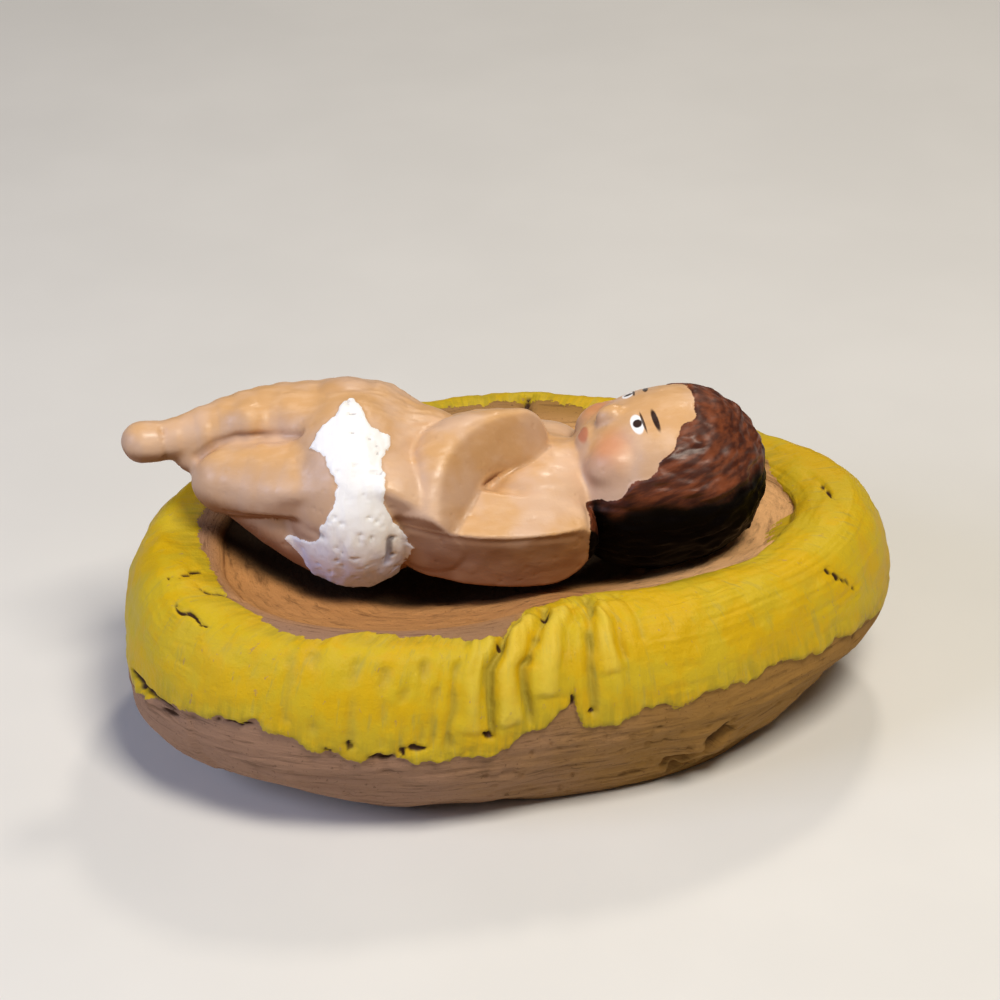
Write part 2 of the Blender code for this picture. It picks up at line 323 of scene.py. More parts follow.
def stroke_lean(stroke):
    """How far the grid leans on its way in, by a bell round the middle of the near side, where the folds lean."""
    return math.radians(9.0) * hill(0.0, math.radians(14.0), turned_to(stroke, -92.0))


turn = np.linspace(-math.pi, math.pi, AROUND, endpoint=False)
lines = turn - NEAR_FINER * np.cos(turn)
rows = np.interp(np.linspace(0.0, 1.0, ALONG), *np.array(ROW_STOPS).T)
STROKE, SHARE = (grid.ravel() for grid in np.meshgrid(lines, rows[1:-1], indexing="ij"))
STROKE, SHARE = np.append(STROKE, (0.0, 0.0)), np.append(SHARE, (0.0, 1.0))
ANGLE = STROKE + stroke_lean(STROKE) * (SHARE - 0.5)
BARE = bed_skin(ANGLE, SHARE)


def dish_faces(around, inner_rows):
    """Quads between neighbouring lines, the last line joined to the first, and fans to the two end points."""
    line, row = np.meshgrid(np.arange(around), np.arange(inner_rows - 1), indexing="ij")
    here, there = line * inner_rows + row, (line + 1) % around * inner_rows + row
    quads = np.stack([here, there, there + 1, here + 1], -1).reshape(-1, 4)
    start = np.arange(around) * inner_rows
    after = np.roll(start, -1)
    under, hollow = np.full(around, around * inner_rows), np.full(around, around * inner_rows + 1)
    last = inner_rows - 1
    fans = np.stack([after, start, under], 1), np.stack([start + last, after + last, hollow], 1)
    return quads, np.concatenate(fans)


QUADS, FANS = dish_faces(AROUND, ALONG - 2)
TRIANGLES = np.concatenate([QUADS[:, [0, 1, 2]], QUADS[:, [0, 2, 3]], FANS])
BARE_NORMAL = outward(BARE, TRIANGLES)
print("bed grid", len(BARE), "points,", len(TRIANGLES), "triangles")

# %% [markdown]
# ## The bed: where the straw is painted
# The straw's yellow ends in two ragged lines, one under the rim and one inside it. Both are a share of the way
# over the skin that changes with the angle. Around a brushed edge the distance to the line is kept on the
# mesh, so the paint can follow it more finely than the mesh does.

# %% The two edges of the yellow
LOWER_EDGE = (
    (-180, 0.37), (-171, 0.35), (-163, 0.385), (-153, 0.398), (-145, 0.414), (-139, 0.383), (-131, 0.371),
    (-116, 0.353), (-108, 0.356), (-102, 0.366), (-95, 0.395), (-91, 0.415), (-88.5, 0.440), (-86.5, 0.390),
    (-82, 0.378), (-75, 0.391), (-63, 0.406), (-46, 0.406), (-33, 0.398), (-19, 0.363), (0, 0.37), (25, 0.39),
    (60, 0.37), (90, 0.385), (125, 0.36), (155, 0.385),
)
INNER_EDGE = (
    (-175, 0.735), (-158, 0.715), (-146, 0.664), (-142, 0.657), (-136, 0.715), (-120, 0.690), (-110, 0.640),
    (-105, 0.645), (-102, 0.700), (-96, 0.770), (-60, 0.775), (-40, 0.745), (-33, 0.735), (-20, 0.800), (-4, 0.805),
    (5, 0.72), (40, 0.70), (67, 0.672), (85, 0.665), (110, 0.69), (150, 0.70), (175, 0.712),
)
OUTER_MM, INNER_MM = 46.0, 38.0


def edge_share(stops, stroke):
    """The share at which an edge lies, straight between its stops and joined up round the bed."""
    degrees, shares = np.array(stops, float).T
    return np.interp(np.degrees(stroke), degrees, shares, period=360.0)


HOOP = np.stack([30.0 * np.cos(STROKE), 30.0 * np.sin(STROKE), 55.0 * SHARE], 1)
ragged = 0.5 * clouds(HOOP, (2.4, 2.4, 3.0), 3, 11) + 0.12 * cloud(HOOP, 0.5, 15)
ragged = ragged + 0.32 * cloud(HOOP, (0.8, 0.8, 8.0), 16)
FROM_LOWER = OUTER_MM * (SHARE - edge_share(LOWER_EDGE, STROKE)) + ragged
FROM_INNER = INNER_MM * (edge_share(INNER_EDGE, STROKE) - SHARE) + 0.8 * np.roll(ragged, 7)
STRAW = np.minimum(FROM_LOWER, FROM_INNER)
print("straw on", (STRAW > 0.0).mean().round(3), "of the bed's points")

# %% [markdown]
# ## The bed: tool marks, cracks and pits
# The straw was scored while the clay was wet: three deep folds with ropes of straw between them at the middle
# of the near side, shallower folds to the left, fine strokes, and a thumb-smoothed left end. The straw hangs a
# little over the plain clay below it, which was wiped with a wet brush and has small pits. A sculpting brush
# could draw all this by eye; here each mark is a line with a height and a width, and the marks add up to one
# relief, a height for each point of the skin.

# %% Lines drawn on the skin
def on_skin(degrees, share):
    """The bare bed's point at one stroke angle and share."""
    stroke = np.array([math.radians(degrees)])
    return bed_skin(stroke + stroke_lean(stroke) * (share - 0.5), np.array([share]))[0]


def from_segment(points, start, end):
    """Distance to a straight piece: what is left after the part along it, held between its ends, is taken off."""
    along = end - start
    share = np.clip((points - start) @ along / (along @ along), 0.0, 1.0)
    return np.linalg.norm(points - start - share[:, None] * along, axis=1), share


def from_line(points, stops):
    """Distance to a line through stops on the skin, and how far along it the nearest place is, from 0 to 1."""
    placed = [on_skin(*stop) for stop in stops]
    least, along = np.full(len(points), np.inf), np.zeros(len(points))
    for number, (start, end) in enumerate(zip(placed[:-1], placed[1:])):
        away, share = from_segment(points, start, end)
        along = np.where(away < least, (number + share) / (len(placed) - 1), along)
        least = np.minimum(least, away)
    return least, along


# %% Straw folds, fine strokes and the thumb print
# Each is its stops, in degrees and share, then its depth or height and its width in mm.
FOLDS = (
    (((-100.0, 0.735), (-101.8, 0.68), (-104.5, 0.614), (-107.0, 0.544), (-106.8, 0.471), (-105.6, 0.39)), 0.95, 0.50),
    (((-91.5, 0.74), (-93.5, 0.69), (-97.5, 0.612), (-99.5, 0.531), (-99.0, 0.476), (-98.0, 0.40)), 0.85, 0.46),
    (((-77.0, 0.74), (-79.2, 0.68), (-84.2, 0.574), (-84.5, 0.499), (-84.5, 0.39)), 0.80, 0.50),
    (((-84.0, 0.71), (-86.0, 0.66), (-89.8, 0.574), (-91.5, 0.50), (-91.5, 0.44)), 0.32, 0.50),
    (((-112.5, 0.69), (-113.5, 0.56), (-113.8, 0.479), (-115.0, 0.37)), 0.62, 0.48),
    (((-109.6, 0.66), (-110.3, 0.56), (-110.6, 0.40)), 0.36, 0.35),
    (((-117.0, 0.69), (-117.3, 0.50), (-117.8, 0.37)), 0.50, 0.42),
    (((-120.5, 0.70), (-120.0, 0.564), (-119.7, 0.38)), 0.56, 0.48),
    (((-123.8, 0.68), (-123.2, 0.50), (-123.0, 0.37)), 0.42, 0.45),
    (((-127.0, 0.70), (-126.6, 0.55), (-126.0, 0.37)), 0.50, 0.50),
    (((-133.0, 0.71), (-132.0, 0.56), (-131.0, 0.38)), 0.50, 0.55),
    (((-141.0, 0.71), (-138.8, 0.581), (-137.0, 0.40)), 0.52, 0.55),
    (((-146.0, 0.69), (-141.8, 0.549), (-141.0, 0.41)), 0.52, 0.60),
    (((-73.0, 0.72), (-76.5, 0.60), (-78.0, 0.50)), 0.34, 0.50),
    (((-69.0, 0.73), (-71.0, 0.62), (-72.0, 0.54)), 0.30, 0.45),
)
ROPES = (
    (((-98.0, 0.70), (-101.0, 0.612), (-103.4, 0.54), (-103.0, 0.47), (-102.2, 0.41)), 0.75, 1.10),
    (((-88.0, 0.70), (-93.0, 0.60), (-94.6, 0.52), (-94.0, 0.45)), 0.62, 1.30),
    (((-74.5, 0.69), (-80.5, 0.58), (-80.5, 0.48)), 0.48, 1.20),
    (((-108.5, 0.66), (-110.8, 0.56), (-110.5, 0.47), (-110.2, 0.40)), 0.50, 1.10),
)
WHORL, RIDGE_GAP = (-164.0, 0.506), 0.47


def bells_along(points, lines):
    """Bells along lines on the skin, each with its own height and width, the highest counting where two meet."""
    wander = points + 0.30 * np.stack([cloud(points, 2.2, seed) for seed in (17, 18, 19)], 1)
    height = np.zeros(len(points))
    for stops, high, width in lines:
        away, along = from_line(wander, stops)
        ends = ease(0.0, 0.10, along + 0.03) * ease(0.0, 0.12, 1.03 - along)
        height = np.maximum(height, high * hill(0.0, width, away) * ends)
    return height


def straw_relief(points, stroke, share, hoop):
    """Heights of the straw: fine strokes across the rim, brush lines along its right side, and soft lumps."""
    degrees = np.degrees(stroke)
    scored = ease(-150.0, -142.0, degrees) * (1.0 - ease(-76.0, -66.0, degrees))
    right = ease(-76.0, -64.0, degrees) * (1.0 - ease(20.0, 50.0, degrees))
    fine = 0.15 * cloud(hoop, (0.95, 0.95, 9.0), 21) + 0.10 * cloud(hoop, (0.5, 0.5, 6.0), 22)
    far = 0.5 * (1.0 - scored) * (1.0 - right) * ease(-0.3, 0.2, np.sin(stroke))
    brushed = 0.07 * cloud(hoop + 0.8 * share[:, None] * (6.0, 6.0, 0.0), (7.0, 7.0, 0.55), 25)
    lumpy = 0.16 * clouds(points, (2.6, 2.6, 2.6), 3, 31)
    return fine * (scored + far) + brushed * right + lumpy * (0.45 + 0.55 * (1.0 - scored))


def thumb_print(points):
    """Rings of a thumb's ridges: the cosine of the distance from the whorl, bent a little, fading by 5 mm."""
    away = np.linalg.norm((points - on_skin(*WHORL)) * (1.0, 0.75, 1.25), axis=1)
    bent = away + 0.35 * cloud(points, 2.4, 36)
    return 0.045 * np.cos(2.0 * math.pi * bent / RIDGE_GAP) * (1.0 - ease(3.2, 5.4, away)) * ease(0.2, 0.6, away)


# %% The plain clay: wiped underside, finger-smoothed hollow, pits
def clay_relief(points, hoop, share):
    """Long wipes round the underside, shallow finger paths in the hollow, and pits where a cloud is high."""
    under = 1.0 - ease(0.34, 0.40, share)
    inside = ease(0.72, 0.80, share)
    swell = 0.42 * clouds(points, (9.0, 9.0, 7.0), 2, 41) * ease(0.05, 0.12, share) * (1.0 - ease(0.30, 0.37, share))
    wipes = 0.16 * clouds(hoop, (7.0, 7.0, 0.8), 3, 43) * ease(0.05, 0.12, share) * under
    fingers = 0.16 * clouds(points, (5.0, 3.0, 3.0), 3, 45) * inside
    pits = -0.22 * ease(0.60, 0.80, cloud(points, 0.9, 47)) * np.maximum(under * ease(0.05, 0.1, share), 0.5 * inside)
    return swell + wipes + fingers + pits


# %% Cracks, pits at the straw's foot, crumbs and the chip under the near right side
CRACKS = (
    (((-173.0, 0.634), (-172.8, 0.659), (-174.2, 0.684), (-174.2, 0.702)), 0.45, 0.20),
    (((-168.8, 0.684), (-166.5, 0.697), (-165.5, 0.717), (-162.2, 0.749)), 0.60, 0.26),
    (((-166.8, 0.599), (-164.5, 0.586), (-162.8, 0.604), (-159.8, 0.596), (-158.0, 0.589)), 0.45, 0.20),
    (((-171.5, 0.385), (-167.8, 0.380), (-164.0, 0.382), (-159.8, 0.383)), 0.65, 0.30),
    (((-163.2, 0.361), (-159.2, 0.373)), 0.50, 0.26), (((-151.8, 0.396), (-146.2, 0.410)), 0.45, 0.22),
    (((-134.8, 0.388), (-134.4, 0.374)), 0.55, 0.30), (((-131.5, 0.398), (-131.0, 0.378)), 0.60, 0.27),
    (((-128.0, 0.369), (-124.5, 0.366)), 0.60, 0.26), (((-123.0, 0.388), (-122.6, 0.370)), 0.55, 0.25),
    (((-121.5, 0.386), (-118.8, 0.384)), 0.50, 0.28), (((-107.6, 0.404), (-106.0, 0.392)), 0.80, 0.34),
    (((-106.2, 0.615), (-104.6, 0.607)), 0.45, 0.26), (((-95.2, 0.679), (-92.2, 0.697)), 0.50, 0.28),
    (((-89.4, 0.446), (-88.8, 0.434)), 0.45, 0.30), (((-85.6, 0.414), (-84.0, 0.406)), 0.55, 0.27),
    (((-7.0, 0.697), (-9.4, 0.684), (-11.8, 0.677)), 0.55, 0.28),
    (((-31.2, 0.561), (-30.5, 0.526), (-29.0, 0.500), (-28.0, 0.461)), 0.40, 0.24),
    (((-28.2, 0.393), (-28.5, 0.361)), 0.50, 0.28), (((-60.0, 0.295), (-56.0, 0.312)), 0.35, 0.22),
    (((68.2, 0.64), (67.6, 0.70), (67.8, 0.76)), 1.20, 0.42),
)
CHIPS = (
    ((-68.6, 0.205), (-64.5, 0.222), (-61.0, 0.222)), ((-60.5, 0.240), (-58.0, 0.271)),
    ((-68.8, 0.158), (-65.2, 0.150)),
)
CHIP_DEPTH, CHIP_SHADE = 1.2, 0.62
CRUMBS = (
    (-172.5, 0.372, 0.9, 0.75), (-169.0, 0.365, 0.8, 0.60), (-165.8, 0.362, 0.6, 0.55), (-174.5, 0.355, 0.8, 0.55),
    (-63.0, 0.255, 1.2, 0.45), (-57.5, 0.225, 1.5, 0.50), (-129.5, 0.360, 0.6, 0.25), (-38.0, 0.261, 1.4, 0.45),
)


def cracks_in(points):
    """How deep in a crack each point is, from 0 to 1, and the depth in mm: narrow bells along wandering lines."""
    wander = points + 0.30 * np.stack([cloud(points, 0.8, seed) for seed in (51, 52, 53)], 1)
    inside, depth = np.zeros(len(points)), np.zeros(len(points))
    for stops, deep, width in CRACKS:
        away, along = from_line(wander, stops)
        here = hill(0.0, width * (0.7 + 0.5 * np.sin(math.pi * along)), away)
        inside, depth = np.maximum(inside, here), np.maximum(depth, deep * here)
    return inside, depth


def lumps_on(points):
    """Crumbs of clay pressed on as low bells, and pits where a flake of the underside has gone."""
    height, hollowed = np.zeros(len(points)), np.zeros(len(points))
    for degrees, share, width, high in CRUMBS:
        height += high * hill(0.0, width, np.linalg.norm(points - on_skin(degrees, share), axis=1))
    torn = points + 0.9 * np.stack([cloud(points, 1.6, seed) for seed in (54, 55, 56)], 1)
    for stops in CHIPS:
        hollowed = np.maximum(hollowed, 1.0 - ease(0.60, 1.45, from_line(torn, stops)[0]))
    return height - CHIP_DEPTH * hollowed, hollowed


# %% The bed as one relief
LEDGE, INNER_LEDGE, EDGE_GAP = 0.45, 0.08, 0.01
SHADOW_CENTRE, SHADOW_TURN, SHADOW_RADII = (-4.0, 5.4), 8.0, (31.0, 11.6)
CRACKED, crack_depth = cracks_in(BARE)
FOLDED = bells_along(BARE, FOLDS)
LUMPS, CHIPPED = lumps_on(BARE)
on_straw = ease(-0.5, 0.6, STRAW)
thinner = 1.0 - 0.6 * ease(-30.0, -10.0, np.degrees(STROKE))
layer = LEDGE * (ease(-0.25, 0.35, FROM_LOWER) - 1.0) * ease(0.06, 0.16, SHARE) * thinner
inner_layer = INNER_LEDGE * ease(-0.2, 0.2, FROM_INNER) * ease(0.4, 0.5, SHARE)
SCORED = straw_relief(BARE, STROKE, SHARE, HOOP) + thumb_print(BARE) + bells_along(BARE, ROPES) - FOLDED
RELIEF = SCORED * on_straw + clay_relief(BARE, HOOP, SHARE)
RELIEF = RELIEF + layer + inner_layer + LUMPS - crack_depth
RELIEF = RELIEF * ease(0.045, 0.09, SHARE)
bed_points = BARE + BARE_NORMAL * RELIEF[:, None]
bed_points = bed_points + (BED_BOX.mean(0) - (BARE.min(0) + BARE.max(0)) / 2) * (1.0, 1.0, 0.0)
bed_points = np.clip(bed_points, BED_BOX[0] + EDGE_GAP, BED_BOX[1] - EDGE_GAP)
bed = new_piece("clay_straw_bed", bed_points, QUADS.tolist() + FANS.tolist())
# A painted shadow: the hollow's clay turns nearly black in an oval under the infant, where its shade falls.
under_body = np.linalg.norm((BARE[:, :2] - SHADOW_CENTRE) @ about(2, SHADOW_TURN)[:2, :2].T / SHADOW_RADII, axis=1)
clear_of_body = ease(0.80, 1.04, under_body + 0.06 * clouds(BARE, 5.0, 2, 58))
keep(
    bed, straw=STRAW, crack=np.maximum(CRACKED, CHIP_SHADE * CHIPPED), fold=FOLDED * on_straw, rise=SCORED,
    inside=ease(0.68, 0.80, SHARE), pooled=ease(0.72, 0.80, SHARE) * (1.0 - clear_of_body), hoop=HOOP,
)
print("bed relief from", RELIEF.min().round(2), "to", RELIEF.max().round(2), "mm")

# %% [markdown]
# ## The infant: balls and rolls of clay
# The infant is put together the way a modeller does it: balls pressed into trunk, hips and head, and rolls for
# limbs, pushed into one another until the joints vanish. Each is a surface of two parameters. Blender's
# Remesh fuses them, and then every point is moved to where one formula says the clay's skin is, which
# gives the soft pressed valleys between limbs that a plain union hasn't.

# %% Surfaces of two parameters
FIGURE_TURN, FIGURE_PITCH = -8.0, -0.454


def band_faces(rings, columns):
    """Quads between closed rings of points: here, the one beside it, and the same two in the next ring."""
    ring, column = np.meshgrid(np.arange(rings - 1), np.arange(columns), indexing="ij")
    here, beside = ring * columns + column, ring * columns + (column + 1) % columns
    return np.stack([here, beside, beside + columns, here + columns], -1).reshape(-1, 4)


def ball_surface(centre, radii, tilt):
    """A pressed ball: sine and cosine of two angles, times three radii, tilted in the XZ plane."""
    rows, columns = 24, 36
    spin = np.linspace(0.0, 2.0 * math.pi, columns, endpoint=False)
    down, round_ = np.meshgrid(np.linspace(0.0, math.pi, rows), spin, indexing="ij")
    unit = np.stack([np.sin(down) * np.cos(round_), np.sin(down) * np.sin(round_), np.cos(down)], -1).reshape(-1, 3)
    return unit * radii @ about(1, tilt).T + centre, band_faces(rows, columns)[:, [0, 3, 2, 1]]


def soft_path(stations):
    """A curve past the stations: arcs from midpoint to midpoint, each pulled to the station between them."""
    stations = np.array(stations, float)
    middles = (stations[:-1] + stations[1:]) / 2.0
    starts = np.concatenate([stations[:1], middles[1:-1]]) if len(stations) > 2 else stations[:1]
    ends = np.concatenate([middles[1:-1], stations[-1:]]) if len(stations) > 2 else stations[-1:]
    pulls = stations[1:-1] if len(stations) > 2 else middles
    t = np.linspace(0.0, 1.0, 9)[:-1, None, None]
    arcs = (1.0 - t) ** 2 * starts + 2.0 * t * (1.0 - t) * pulls + t**2 * ends
    return np.concatenate([arcs.transpose(1, 0, 2).reshape(-1, 4), stations[-1:]])


def roll_surface(stations):
    """A roll: a circle carried along the soft path, its radius changing on the way, closed by half balls."""
    path = soft_path(stations)
    ahead = np.gradient(path[:, :3], axis=0)
    ahead /= np.linalg.norm(ahead, axis=1, keepdims=True)
    caps = np.linspace(0.0, 0.5 * math.pi, 6)[:-1]
    first, last = path[0], path[-1]
    centres = np.concatenate([
        first[:3] - ahead[0] * first[3] * np.cos(caps)[:, None], path[:, :3],
        last[:3] + ahead[-1] * last[3] * np.cos(caps)[::-1, None],
    ])
    radii = np.concatenate([first[3] * np.sin(caps), path[:, 3], last[3] * np.sin(caps)[::-1]])
    ways = np.concatenate([np.repeat(ahead[:1], len(caps), 0), ahead, np.repeat(ahead[-1:], len(caps), 0)])
    side = np.cross(ways, (0.13, 0.21, 0.97))
    side /= np.linalg.norm(side, axis=1, keepdims=True)
    other = np.cross(ways, side)
    columns = 28
    spin = np.linspace(0.0, 2.0 * math.pi, columns, endpoint=False)
    ring = side[:, None] * np.cos(spin)[None, :, None] + other[:, None] * np.sin(spin)[None, :, None]
    points = (centres[:, None] + ring * radii[:, None, None]).reshape(-1, 3)
    return points, band_faces(len(centres), columns)


# %% How far a point is from a ball or a roll
def ball_distance(points, centre, radii, tilt):
    """About how far outside a pressed ball each point is: the stretched distance over its own slope."""
    placed = (points - centre) @ about(1, tilt)
    stretched = np.linalg.norm(placed / radii, axis=1)
    slope = np.linalg.norm(placed / np.square(radii), axis=1)
    return stretched * (stretched - 1.0) / np.maximum(slope, 1e-9)


def roll_distance(points, stations):
    """How far outside a roll each point is: the least over its short straight pieces, less the radius there."""
    path = soft_path(stations)[::2] if len(stations) > 2 else np.array(stations, float)
    least = np.full(len(points), np.inf)
    for start, end in zip(path[:-1], path[1:]):
        away, share = from_segment(points, start[:3], end[:3])
        least = np.minimum(least, away - start[3] - share * (end[3] - start[3]))
    return least


def pressed(first, second, softness):
    """Two skins pressed together: the nearer one, rounded off where both are within the softness."""
    near = stretch(-softness, softness, second - first)
    return second * (1.0 - near) + first * near - softness * near * (1.0 - near)


def cut_flat(skin, points, through, facing, softness):
    """A skin pared flat by a knife: the farther of it and a plane, rounded at the edge."""
    facing = np.array(facing) / np.linalg.norm(facing)
    plane = (points - through) @ facing
    return -pressed(-skin, -plane, softness)


# %% The infant's lumps and rolls
# A ball is its centre and three radii; a roll is its stations, each a place and a radius.
HEAD_TILT, HEAD_CENTRE = -22.0, np.array([15.1, -0.3, 0.6])
HEAD_AXES = about(1, HEAD_TILT)
TRUNK_BALLS = (
    ((-15.2, 0.7, 1.2), (7.6, 9.8, 9.7)), ((-9.2, 1.5, 0.5), (7.4, 7.0, 8.2)), ((1.5, 0.2, -2.0), (8.5, 8.4, 6.2)),
    ((4.4, 0.6, -1.6), (4.4, 8.6, 5.4)),
)
NECK = ((5.0, -0.3, -0.6, 5.0), (8.5, -0.3, -0.2, 4.6), (12.0, -0.3, 0.2, 5.0))
HIP_PAT = ((-15.4, 4.3, 8.9), (3.5, 3.0, 2.1))
FAR_LEG = ((-13.5, 4.6, 4.2, 6.0), (-20.0, 5.4, 5.8, 4.7), (-26.0, 4.4, 6.4, 3.7), (-32.0, 3.4, 6.5, 2.0))
FAR_FOOT = ((-32.4, 3.3, 6.4, 1.85), (-34.4, 3.2, 6.3, 2.15), (-35.5, 3.0, 6.5, 2.05))
FAR_LEG_BALLS = (
    ((-20.8, 3.4, 8.0), (2.7, 2.1, 2.4)), ((-25.2, 2.7, 7.9), (2.0, 1.6, 2.0)), ((-29.0, 2.7, 4.6), (3.4, 1.9, 2.0)),
)
NEAR_THIGH = ((-13.0, -4.0, 1.2, 6.6), (-20.0, -1.9, 2.4, 5.2), (-27.4, 0.8, 3.1, 3.6))
NEAR_CALF = ((-25.6, 0.4, 1.6, 3.0), (-22.6, -0.8, -0.8, 3.3), (-18.6, -2.0, -3.2, 3.2))
NEAR_UPPER_ARM = ((2.9, -6.9, -1.6, 4.8), (-1.8, -7.6, -1.4, 4.8), (-7.9, -6.5, -0.2, 4.7))
NEAR_FOREARM = ((-8.1, -6.4, 0.4, 4.4), (-7.6, -4.2, 4.0, 4.2), (-4.2, -1.2, 6.0, 3.8), (1.0, 0.2, 5.4, 3.2))
# A cut is a point that the knife goes through, and the way that its flat face looks.
FOREARM_CUT = ((-3.6, -5.2, 5.8), (0.52, -0.72, 0.46))
ARM_TOP_CUT, ARM_SIDE_CUT = ((0.0, 0.0, 0.0), (0.0, -0.50, 0.87)), ((0.0, 0.0, 0.0), (0.0, -0.955, -0.295))
THIGH_CUTS = (
    ((-25.5, -2.6, 6.3), (-0.30, -0.60, 0.74), 0.8), ((-22.0, -5.6, 2.6), (-0.25, -0.94, -0.15), 0.5),
    ((-23.5, -4.5, 1.3), (0.0, -0.35, -0.94), 0.45),
)
FAR_UPPER_ARM = ((5.0, 6.6, -0.8, 4.0), (0.0, 8.0, -0.4, 4.0), (-4.6, 6.4, 0.4, 4.0))
FAR_FOREARM = ((-4.6, 6.2, 0.8, 3.8), (-2.6, 4.6, 3.4, 3.4), (1.6, 3.2, 4.0, 2.8))
BREAST = ((2.2, -3.9, 1.2), (5.4, 3.4, 3.1))
SKULL = ((0.0, 0.0, 0.0), (10.4, 8.4, 8.8))
HAIR_BALL = ((2.0, 0.0, -0.6), (8.2, 8.4, 8.6))
FACE_BALLS = (
    ((-1.9, 0.0, 8.5), (1.5, 1.05, 1.15)), ((-3.3, 3.7, 5.3), (2.9, 2.6, 2.6)), ((-3.3, -3.7, 5.3), (2.9, 2.6, 2.6)),
    ((-4.75, 0.0, 7.15), (0.75, 1.5, 0.8)), ((-5.5, 0.0, 6.75), (0.65, 1.2, 0.8)), ((-7.2, 0.0, 5.2), (1.9, 2.4, 2.0)),
)


def in_head(place):
    """A place given from the head's centre, X to the crown and Z out of the face, in the body's own axes."""
    return HEAD_CENTRE + HEAD_AXES @ np.array(place)


def trunk_skin(p):
    """The trunk's balls pressed together one after another, then the neck's roll."""
    skin = ball_distance(p, *TRUNK_BALLS[0], 0.0)
    for centre, radii in TRUNK_BALLS[1:]:
        skin = pressed(skin, ball_distance(p, centre, radii, 0.0), 2.0)
    return pressed(skin, roll_distance(p, NECK), 1.5)


def leg_skins(p):
    """The straight far leg with its muscles, and the bent near one: a thigh pared on three faces, and a calf."""
    far = pressed(roll_distance(p, FAR_LEG), roll_distance(p, FAR_FOOT), 0.5)
    for centre, radii in FAR_LEG_BALLS:
        far = pressed(far, ball_distance(p, centre, radii, 0.0), 0.8)
    thigh = roll_distance(p, NEAR_THIGH)
    for cut in THIGH_CUTS:
        thigh = cut_flat(thigh, p, *cut)
    return far, pressed(thigh, roll_distance(p, NEAR_CALF), 0.3)


def arm_skins(p):
    """The near arm was pared along one curved edge: a top face up to it, and a face that recedes below it."""
    from_edge = p - np.stack([p[:, 0], -10.9 + 0.028 * (p[:, 0] + 1.0) ** 2, 1.2 - 0.05 * (p[:, 0] + 2.0)], 1)
    upper = cut_flat(roll_distance(p, NEAR_UPPER_ARM), from_edge, *ARM_TOP_CUT, 0.2)
    upper = cut_flat(upper, from_edge, *ARM_SIDE_CUT, 0.2)
    fore = cut_flat(roll_distance(p, NEAR_FOREARM), p, *FOREARM_CUT, 0.9)
    fore = cut_flat(fore, from_edge, *ARM_SIDE_CUT, 0.3)
    far = pressed(roll_distance(p, FAR_UPPER_ARM), roll_distance(p, FAR_FOREARM), 0.8)
    return pressed(upper, fore, 0.35), far


def head_skin(p):
    """Skull and hair as two balls, and the small balls of a plain face, all pressed together."""
    skin = ball_distance(p, HEAD_CENTRE, SKULL[1], HEAD_TILT)
    skin = pressed(skin, ball_distance(p, in_head(HAIR_BALL[0]), HAIR_BALL[1], HEAD_TILT), 0.6)
    for centre, radii in FACE_BALLS:
        skin = pressed(skin, ball_distance(p, in_head(centre), radii, HEAD_TILT), 0.55)
    return skin


def clay_skin(p):
    """How far outside the whole infant each point is: all lumps and rolls pressed together, softly or hardly."""
    far_leg, near_leg = leg_skins(p)
    near_arm, far_arm = arm_skins(p)
    skin = pressed(trunk_skin(p), far_leg, 1.6)
    skin = pressed(skin, ball_distance(p, *HIP_PAT, 0.0), 0.12)
    skin = pressed(skin, near_leg, 0.6)
    skin = pressed(skin, ball_distance(p, *BREAST, 0.0), 0.7)
    skin = pressed(skin, far_arm, 0.9)
    skin = pressed(skin, near_arm, 0.4)
    return pressed(skin, head_skin(p), 0.5)


# %% Fusing the rough infant
ROUGH_VOXEL, FINE_VOXEL = 0.45, 0.226
PROBE, LONGEST_STEP = 0.02, 0.5


def fused(piece, voxel):
    """The piece's mesh made anew as one skin by Remesh, and its triangles' corners."""
    fuse = piece.modifiers.new("Fuse", "REMESH")
    fuse.mode = "VOXEL"
    fuse.voxel_size = voxel * MM
    mesh = bpy.data.meshes.new_from_object(piece.evaluated_get(bpy.context.evaluated_depsgraph_get()))
    piece.modifiers.clear()
    piece.data = mesh
    mesh.polygons.foreach_set("use_smooth", [True] * len(mesh.polygons))
    mesh.calc_loop_triangles()
    corners = np.empty(len(mesh.loop_triangles) * 3, np.int32)
    mesh.loop_triangles.foreach_get("vertices", corners)
    return points_in(mesh), corners.reshape(-1, 3)


def drawn_to_skin(points, steps):
    """Moves each point onto the clay's skin: by its distance, along the way in which the distance grows."""
    for _ in range(steps):
        off = clay_skin(points)
        slope = np.stack([clay_skin(points + PROBE * axis) - off for axis in np.eye(3)], 1) / PROBE
        steep = np.maximum((slope * slope).sum(1, keepdims=True), 0.3)
        points = points - slope / steep * np.clip(off, -LONGEST_STEP, LONGEST_STEP)[:, None]
    return points


def put_points(piece, points):
    """Moves the piece's points to these places, in mm."""
    piece.data.vertices.foreach_set("co", (points * MM).astype(np.float32).ravel())
    piece.data.update()


rough_balls = [(centre, radii, 0.0) for centre, radii in (*TRUNK_BALLS, HIP_PAT, *FAR_LEG_BALLS, BREAST)]
rough_balls += [(in_head(centre), radii, HEAD_TILT) for centre, radii in (SKULL, HAIR_BALL, *FACE_BALLS)]
rough_rolls = (NECK, FAR_LEG, FAR_FOOT, NEAR_THIGH, NEAR_CALF, NEAR_UPPER_ARM, NEAR_FOREARM, FAR_UPPER_ARM, FAR_FOREARM)
surfaces = [ball_surface(*ball) for ball in rough_balls] + [roll_surface(roll) for roll in rough_rolls]
starts = np.cumsum([0] + [len(points) for points, _ in surfaces])
rough_points = np.concatenate([points for points, _ in surfaces])
rough_faces = np.concatenate([faces + start for (_, faces), start in zip(surfaces, starts)])
infant = new_piece("clay_infant", rough_points, rough_faces.tolist())
BODY, CORNERS = fused(infant, ROUGH_VOXEL)
put_points(infant, drawn_to_skin(BODY, 8))
